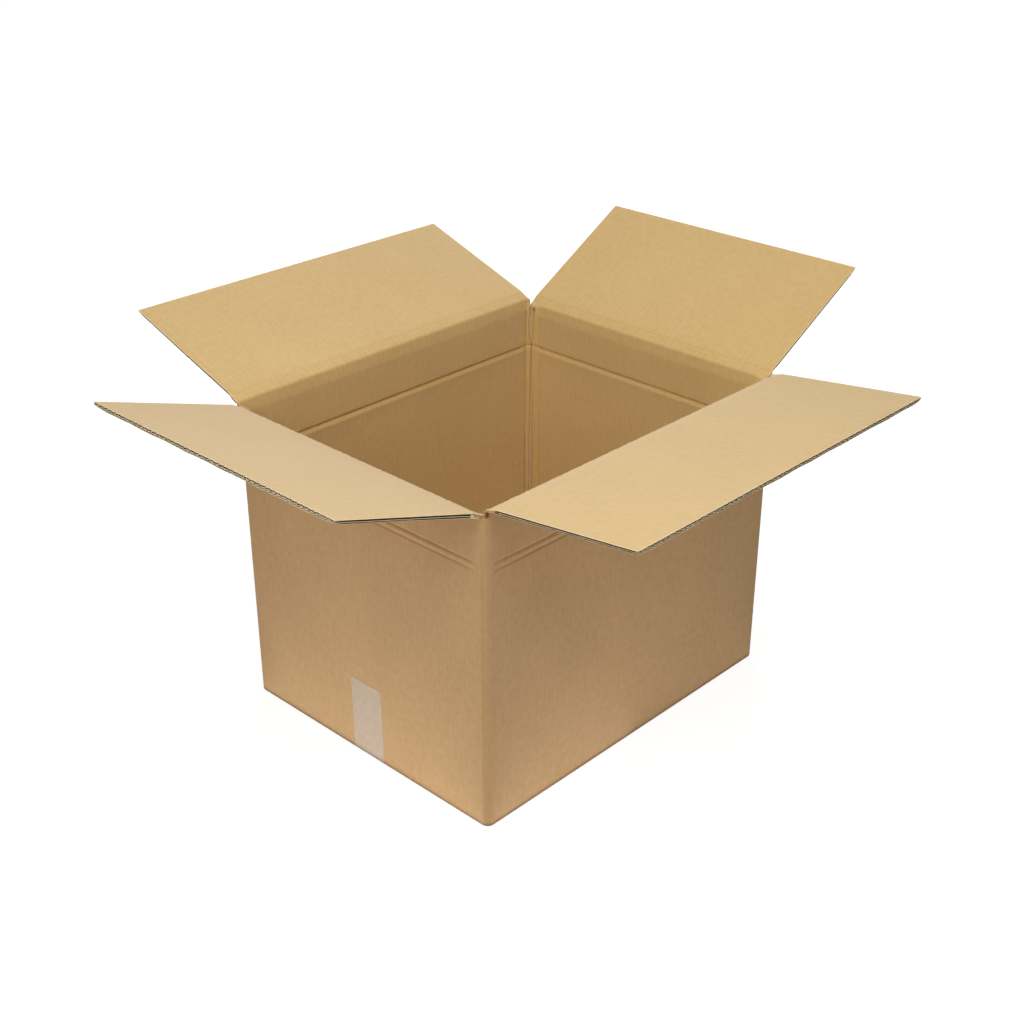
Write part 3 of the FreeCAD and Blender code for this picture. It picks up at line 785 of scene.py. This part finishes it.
def make_flap(wall, node, wide, angle, leans, crush, materials, seed):
    """A top flap with open flutes at its free edge and slots, at its resting angle."""
    span, crease, start = WALLS[wall][2], WALLS[wall][4], WALLS[wall][5]
    turn = math.radians(angle)
    bend = BOARD * (math.pi / 2 - turn)

    def put(x, y, z):
        """From the flap's own place to the box's frame."""
        return place(wall, leaned(-x, y, wide, leans), y * math.cos(turn) - z * math.sin(turn),
                     crease + y * math.sin(turn) + z * math.cos(turn))

    def sheet_at(x, y):
        """Place on the unfolded sheet."""
        return np.stack([start + span / 2 - x, crease + bend + y], -1)

    flap = make_board(node + "_board", wide, FLAP_DEPTH, CLEARANCE, SKIN_REACH - CLEARANCE, put, sheet_at,
                      materials, seed, crush)
    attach(flap, node)
    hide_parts(node)


def bent_section(travel, depth, turn):
    """Section of the liner over a crease: out and up from the hinge, and the outward normal.
    Travel is the way along the liner from the hinge's height, and depth the liner's distance
    from the wall's outer face before the bend."""
    bend = BOARD * (math.pi / 2 - turn)
    share = np.clip(travel / bend, 0, 1)
    phase = math.pi - share * (math.pi / 2 - turn)
    radius = depth + (BOARD - depth) * step_between(share, 0, 1)
    low = np.minimum(travel, 0)
    past = np.maximum(travel - bend, 0)
    out = radius * np.cos(phase) + past * math.cos(turn)
    up = radius * np.sin(phase) + past * math.sin(turn) + low
    return out, up, np.cos(phase), np.sin(phase)


def make_crease(wall, wide, angle, leans, materials, seed):
    """The inner liner bent over a crease, from the wall's inner face to the flap's top."""
    along, normal, span, half, crease, _ = WALLS[wall]
    turn = math.radians(angle)
    bend = BOARD * (math.pi / 2 - turn)
    columns = sheet_columns()
    owner, s, far = where_on_walls(columns)
    limit = max(BOARD, (span - wide) / 2)
    mine = (owner == list(WALLS).index(wall)) & (far >= limit)
    spots_in_plan, _, _ = inner_outline(columns)
    plan = spots_in_plan[mine]
    flat_s = s[mine]
    wall_s = plan @ np.array(along, float)
    depth = half - plan @ np.array(normal, float)
    flap_s = flat_s * (wide / 2) / np.abs(flat_s).max()

    travel = np.concatenate([
        np.linspace(-SKIN_REACH, 0, 7)[:-1],
        np.linspace(0, bend, 9)[:-1],
        np.linspace(bend, bend + SKIN_REACH, 13),
    ])
    share = ((travel + SKIN_REACH) / (bend + 2 * SKIN_REACH))[:, None]
    out, up, out_normal, up_normal = bent_section(travel[:, None], depth[None, :], turn)
    level = travel + crease - END_CREASE
    onto_flap = step_between(level, -3.0, 4.0)[:, None]
    beyond = np.maximum(travel - bend, 0)[:, None]
    place_s = wall_s + (leaned(flap_s, beyond, wide, leans) - wall_s) * onto_flap
    swell = np.sin(np.pi * share)
    to_end = np.abs(flat_s).max() - np.abs(flat_s)
    inside = step_between(to_end, 0, 5)
    ripple = 0.16 * np.cos(2 * np.pi * columns[mine] / LARGE_PITCH) + 0.22 * wander(columns[mine], 17, seed)
    lift = ripple * inside * swell ** 2 - CREASE_CRUSH * swell ** 1.5
    lift = lift - CREASE_LINE * groove(travel - bend, SKIN_REACH - 3.5, 2.2)[:, None]
    taper = np.clip(np.minimum(share, 1 - share) * 8, 0, 1)
    low = lift - taper * (SKIN_THICK + (SKIN_END_THICK - SKIN_THICK) * (1 - step_between(to_end, 2, 9)))
    top = place(wall, place_s, out + lift * out_normal, crease + up + lift * up_normal)
    bottom = place(wall, place_s, out + low * out_normal, crease + up + low * up_normal)
    spots = np.stack(np.broadcast_arrays(columns[mine][None, :], (crease + travel)[:, None]), -1)
    sheets = Sheets()
    sheets.slab(top, bottom, spots, (INNER, SHADED_FLUTE, OUTER), EDGE, False, PALE_FROM)
    skin = sheets.build(wall + "_crease_liner", materials, 60.0)

    # The line along which the liner turns from following the wall to following the flap.
    middle = math.pi - bend / BOARD / 2
    away = 7.0 * np.array([math.sin(middle), -math.cos(middle)])
    centre = BOARD * np.array([math.cos(middle), math.sin(middle)])
    ends = [place(wall, 0.0, spot[0], crease + spot[1]) * MM for spot in (centre - away, centre + away)]
    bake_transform(skin)


# Bottom, lap and tape


def make_bottom(materials):
    """The closed bottom: two long flaps that meet under the middle and two end flaps on them."""
    for number, (wall, wide, floor, reach) in enumerate((
        ("front", BOX_LENGTH - 2 * BOARD - 2 * CLEARANCE, BOTTOM_LIFT, BOX_WIDTH / 2 - 0.5),
        ("rear", BOX_LENGTH - 2 * BOARD - 2 * CLEARANCE, BOTTOM_LIFT, BOX_WIDTH / 2 - 0.5),
        ("left", BOX_WIDTH - 2 * BOARD - 2 * CLEARANCE, BOARD + CLEARANCE, FLAP_DEPTH),
        ("right", BOX_WIDTH - 2 * BOARD - 2 * CLEARANCE, BOARD + CLEARANCE, FLAP_DEPTH),
    )):
        span, start = WALLS[wall][2], WALLS[wall][5]

        def put(x, y, z, wall=wall, floor=floor):
            """From the flap's own place to the box's frame."""
            return place(wall, -x, -y, floor + z * (BOARD - BOTTOM_LIFT) / BOARD)

        def sheet_at(x, y, span=span, start=start):
            """Place on the unfolded sheet."""
            return np.stack([start + span / 2 - x, -y], -1)

        panel = make_board(wall + "_bottom_flap", wide, reach, BOARD, 0.0, put, sheet_at, materials,
                           90 + 7 * number, BOTTOM_CRUSH, 2 * COLUMN, HIDDEN_POINTS)
        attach(panel, "carton")


def make_lap(materials):
    """The glued lap, pressed flat inside the left wall beside the front corner."""
    wide, thick = 35.0, 2.4
    half = BOX_WIDTH / 2 - BOARD
    s = np.linspace(half - wide, half - 1.0, 28)
    up = np.concatenate([
        [12.8, 14, 20],
        np.linspace(60, 300, 5),
        np.linspace(312, 326, 12),
        [345, 358, 361, 362],
    ])
    up, s = np.meshgrid(up, s, indexing="ij")
    edge = step_between(s, half - wide, half - wide + 3)
    end = step_between(362 - up, 0, 3)
    down = step_between(up, 313.2, 320.4) * (1 - step_between(up, 320.4, 322.0))
    wave = 0.05 * np.cos(2 * np.pi * s / LARGE_PITCH)
    depth = thick * (0.72 + 0.28 * np.minimum(edge, end)) + wave - 1.2 * down
    ragged = 0.5 * wander(up, 30, 61) * (1 - edge)
    top = place("left", s + ragged, -BOARD - depth, up)
    bottom = place("left", s + ragged, -BOARD + 1.5, up)
    sheets = Sheets()
    sheets.slab(top, bottom, np.stack([s + 3000, up], -1), (INNER, INNER, EDGE))
    lap = sheets.build("glued_lap", materials)
    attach(lap, "carton")


def make_tape(material):
    """The strip of tape: up the left wall, round the bottom edge, along the seam and up the right."""
    half = BOX_LENGTH / 2
    gap, thick = 0.12, 0.12
    profile = [(half, TAPE_RISE), (half, 70.0), (half, 40.0), (half, 12.0), (half, 3.2), (half - 0.25, 1.6),
               (half - 0.9, 0.6), (half - 2.4, 0.0), (half - 8, 0.0), (half - 80, 0.0), (half - 160, 0.0)]
    line = np.array(profile + [(0.0, 0.0)] + [(-x, z) for x, z in reversed(profile)])
    way = np.gradient(line, axis=0)
    normal = np.stack([-way[:, 1], way[:, 0]], -1)
    normal /= np.linalg.norm(normal, axis=1)[:, None]
    across = np.linspace(-TAPE_WIDTH / 2, TAPE_WIDTH / 2, 40)
    length = np.concatenate([[0], np.cumsum(np.linalg.norm(np.diff(line, axis=0), axis=1))])
    grid_length, grid_across = np.meshgrid(length, across, indexing="ij")
    bulge = 0.9 * np.sin(np.pi * np.clip(line[:, 1] / END_CREASE, 0, 1)) * np.sign(line[:, 0])
    on_floor = step_between(2.0 - line[:, 1], 0, 2.0)
    raise_by = gap * (1 - on_floor) - 0.16 * on_floor
    inner = line + normal * raise_by[:, None]
    outer = line + normal * (raise_by + thick)[:, None]
    inner[:, 0] += bulge
    outer[:, 0] += bulge
    ragged = 0.25 * np.sin(across * 5.3) * np.sin(across * 1.7)
    tips = np.zeros_like(grid_length)
    tips[0] = ragged
    tips[-1] = ragged[::-1]

    def spread(outline):
        """The strip's outline drawn out to its width."""
        points = np.zeros(grid_length.shape + (3,))
        points[..., 0] = outline[:, 0][:, None]
        points[..., 1] = TAPE_SHIFT + grid_across
        points[..., 2] = np.clip(outline[:, 1], 0, None)[:, None] + tips
        return points

    sheets = Sheets()
    spots = np.stack([grid_across, grid_length], -1)
    sheets.slab(spread(outer), spread(inner), spots, (0, 0, 0))
    tape = sheets.build("bottom_tape_film", [material])
    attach(tape, "carton")
    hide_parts("bottom_tape")


# Stage


def make_floor():
    """A plain pale floor that shows white to the camera and keeps the box's shadow."""
    bpy.ops.mesh.primitive_plane_add(size=30, location=(0, 0, -0.0004))
    floor = bpy.context.object
    floor.name = "floor"
    material = bpy.data.materials.new("floor")
    material.use_nodes = True
    tree = material.node_tree
    tree.nodes.clear()
    output = tree.nodes.new("ShaderNodeOutputMaterial")
    plain = tree.nodes.new("ShaderNodeBsdfDiffuse")
    plain.inputs["Color"].default_value = (FLOOR_GREY, FLOOR_GREY, FLOOR_GREY, 1)
    shade = tree.nodes.new("ShaderNodeBsdfDiffuse")
    shade.inputs["Color"].default_value = (FLOOR_SHADE, FLOOR_SHADE, FLOOR_SHADE, 1)
    glow = tree.nodes.new("ShaderNodeEmission")
    spot = tree.nodes.new("ShaderNodeTexCoord")
    away = tree.nodes.new("ShaderNodeVectorMath")
    away.operation = "LENGTH"
    rise = tree.nodes.new("ShaderNodeMapRange")
    limits = {"From Min": GLOW_NEAR, "From Max": GLOW_FAR, "To Min": GLOW_LOW, "To Max": GLOW_FULL}
    for key, value in limits.items():
        rise.inputs[key].default_value = value
    both = tree.nodes.new("ShaderNodeAddShader")
    seen = tree.nodes.new("ShaderNodeLightPath")
    first = tree.nodes.new("ShaderNodeMath")
    second = tree.nodes.new("ShaderNodeMath")
    mix = tree.nodes.new("ShaderNodeMixShader")
    for node in (first, second):
        node.operation = "ADD"
        node.use_clamp = True
    link = tree.links.new
    link(seen.outputs["Is Camera Ray"], first.inputs[0])
    link(seen.outputs["Is Glossy Ray"], first.inputs[1])
    link(first.outputs[0], second.inputs[0])
    link(seen.outputs["Is Transmission Ray"], second.inputs[1])
    link(second.outputs[0], mix.inputs[0])
    link(spot.outputs["Object"], away.inputs[0])
    link(away.outputs["Value"], rise.inputs["Value"])
    link(rise.outputs[0], glow.inputs["Strength"])
    link(shade.outputs[0], both.inputs[0])
    link(glow.outputs[0], both.inputs[1])
    link(plain.outputs[0], mix.inputs[1])
    link(both.outputs[0], mix.inputs[2])
    link(mix.outputs[0], output.inputs["Surface"])
    floor.data.materials.append(material)


def make_world():
    """An even pale surround."""
    world = bpy.data.worlds.new("surround")
    world.use_nodes = True
    bpy.context.scene.world = world
    back = next(node for node in world.node_tree.nodes if node.type == "BACKGROUND")
    back.inputs["Color"].default_value = (1.0, 1.0, 1.0, 1)
    back.inputs["Strength"].default_value = SURROUND


def make_lamp(name, spot, target, size, power, shown):
    """A soft lamp that looks at a point; one that isn't shown only gives light."""
    data = bpy.data.lights.new(name, "AREA")
    data.shape = "RECTANGLE"
    data.size, data.size_y = size
    data.energy = power
    lamp = bpy.data.objects.new(name, data)
    bpy.context.scene.collection.objects.link(lamp)
    lamp.location = spot
    lamp.visible_camera = shown
    lamp.rotation_euler = (Vector(target) - Vector(spot)).to_track_quat("-Z", "Y").to_euler()


def make_camera():
    """The camera at the photograph's place, angle and lens."""
    azimuth, elevation = math.radians(CAMERA_AZIMUTH), math.radians(CAMERA_ELEVATION)
    back = Vector((math.sin(azimuth) * math.cos(elevation), -math.cos(azimuth) * math.cos(elevation),
                   math.sin(elevation)))
    data = bpy.data.cameras.new("camera")
    data.sensor_width = SENSOR_WIDTH
    data.lens = SENSOR_WIDTH * LENS_SHARE
    data.clip_start = 0.05
    data.clip_end = 60
    camera = bpy.data.objects.new("camera", data)
    bpy.context.scene.collection.objects.link(camera)
    across = back.cross(Vector((0, 0, 1))).normalized() * -1
    upward = back.cross(across)
    turn = Matrix((across, upward, back)).transposed().to_4x4()
    camera.matrix_world = Matrix.Translation(CAMERA_SPOT) @ turn
    bpy.context.scene.camera = camera


def make_stage():
    """Floor, surround, lamps and camera, with plain colours shown as they are."""
    bpy.context.scene.view_settings.view_transform = "Standard"
    make_floor()
    make_world()
    for lamp in LAMPS:
        make_lamp(*lamp)
    for name, x, y, wide, deep, power in CARDS:
        make_lamp(name, (x, y, 0.003), (x, y, 1.0), (wide, deep), power, False)
    make_camera()


def main():
    """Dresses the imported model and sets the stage."""
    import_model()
    make_stage()
    materials = board_materials()
    make_walls(materials)
    for seed, (wall, node, wide, angle, leans, crush) in enumerate(FLAPS):
        make_flap(wall, node, wide, angle, leans, crush, materials, 10 * seed + 3)
        make_crease(wall, wide, angle, leans, materials, 10 * seed + 5)
    make_bottom(materials)
    make_lap(materials)
    make_tape(tape_film("packing_tape"))


main()
